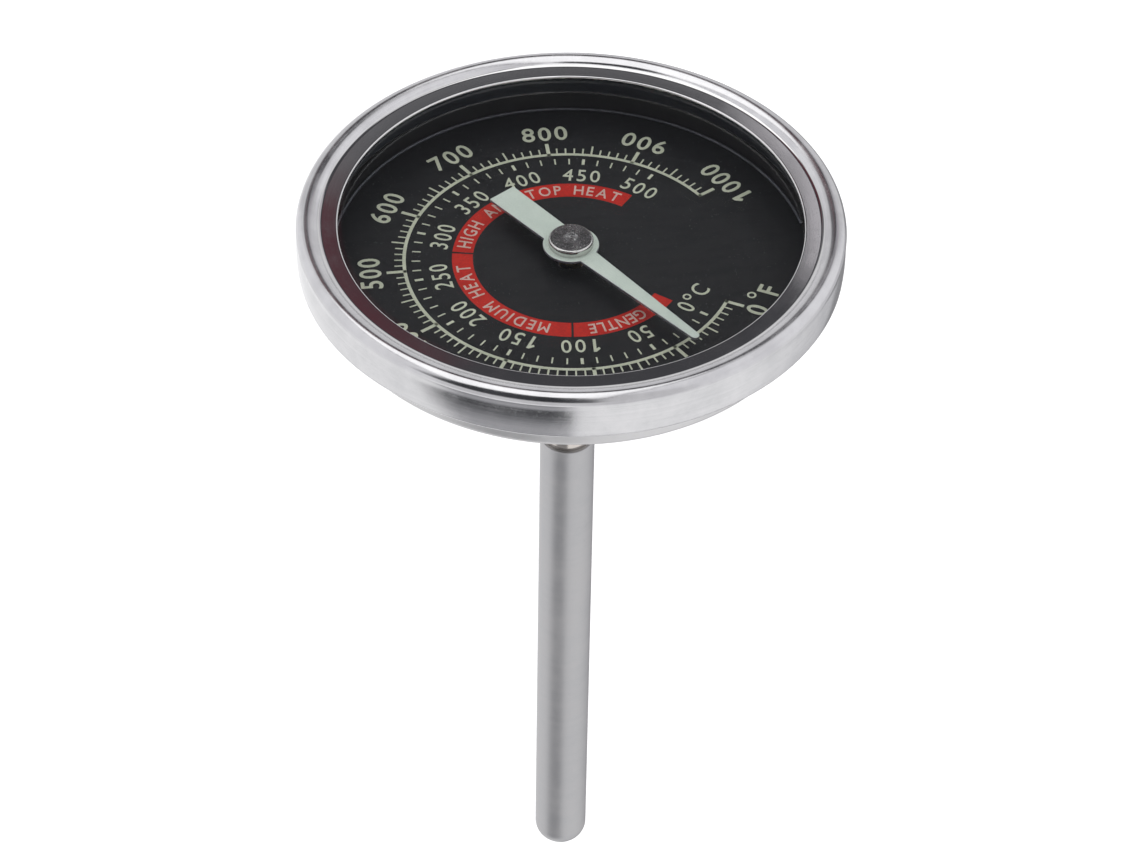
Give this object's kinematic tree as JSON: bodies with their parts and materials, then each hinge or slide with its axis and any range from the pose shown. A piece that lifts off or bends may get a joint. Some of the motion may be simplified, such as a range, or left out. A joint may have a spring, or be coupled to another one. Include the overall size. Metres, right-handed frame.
{
  "type": "dial meat thermometer",
  "caption": "Round bimetal dial thermometer: glazed stainless case, black dial with two temperature scales, pale pointer and a long plain steel stem.",
  "frame": {"origin": "centre of the lower face of the neck flange, which seats on a lid, 2.3 mm behind the case back", "axes": "+Z out of the dial along the stem's axis, the stem pointing to -Z; +Y towards the middle of the scale (500 F), the dial's twelve o'clock"},
  "size_m": [0.076, 0.076, 0.1266],
  "materials": {
    "stainless": "satin brushed stainless steel",
    "window_glass": "clear polished flat glass",
    "gasket_rubber": "smooth dark blue-grey silicone rubber",
    "dial_black": "satin black enamel with cream and red print",
    "inner_steel": "plain steel",
    "nickel_plate": "bright nickel plate",
    "guide_brass": "turned brass",
    "bimetal_strip": "rolled bimetal strip",
    "seal_fibre": "pressed fibre",
    "pointer_paint": "matte pale green luminous paint on aluminium"
  },
  "bodies": {
    "housing": {"bezel_ring": "stainless", "bimetal_helix": "bimetal_strip", "case_seal": "seal_fibre", "dial_plate": "dial_black", "dial_retaining_ring": "dial_black", "dial_support_ring": "inner_steel", "glass_lens": "window_glass", "helix_anchor": "inner_steel", "lens_gasket": "gasket_rubber", "lower_bearing": "guide_brass", "neck_fitting": "nickel_plate", "neck_nut": "inner_steel", "neck_washer": "inner_steel", "rear_case": "stainless", "stem_guide": "guide_brass", "stem_tube": "stainless", "upper_bearing": "guide_brass"},
    "pointer_assembly": {"spindle": "inner_steel", "helix_collar": "inner_steel", "thrust_collar": "guide_brass", "pointer_hub": "guide_brass", "pointer": "pointer_paint", "pointer_cap": "nickel_plate"}
  },
  "joints": [
    {"name": "pointer_turn", "type": "hinge", "parent": "housing", "child": "pointer_assembly", "pos_m": [0, 0, 0], "axis": [0, 0, 1], "range_deg": [-273.8, 26.2], "stiffness_Nm_per_rad": 0.0001}
  ]
}
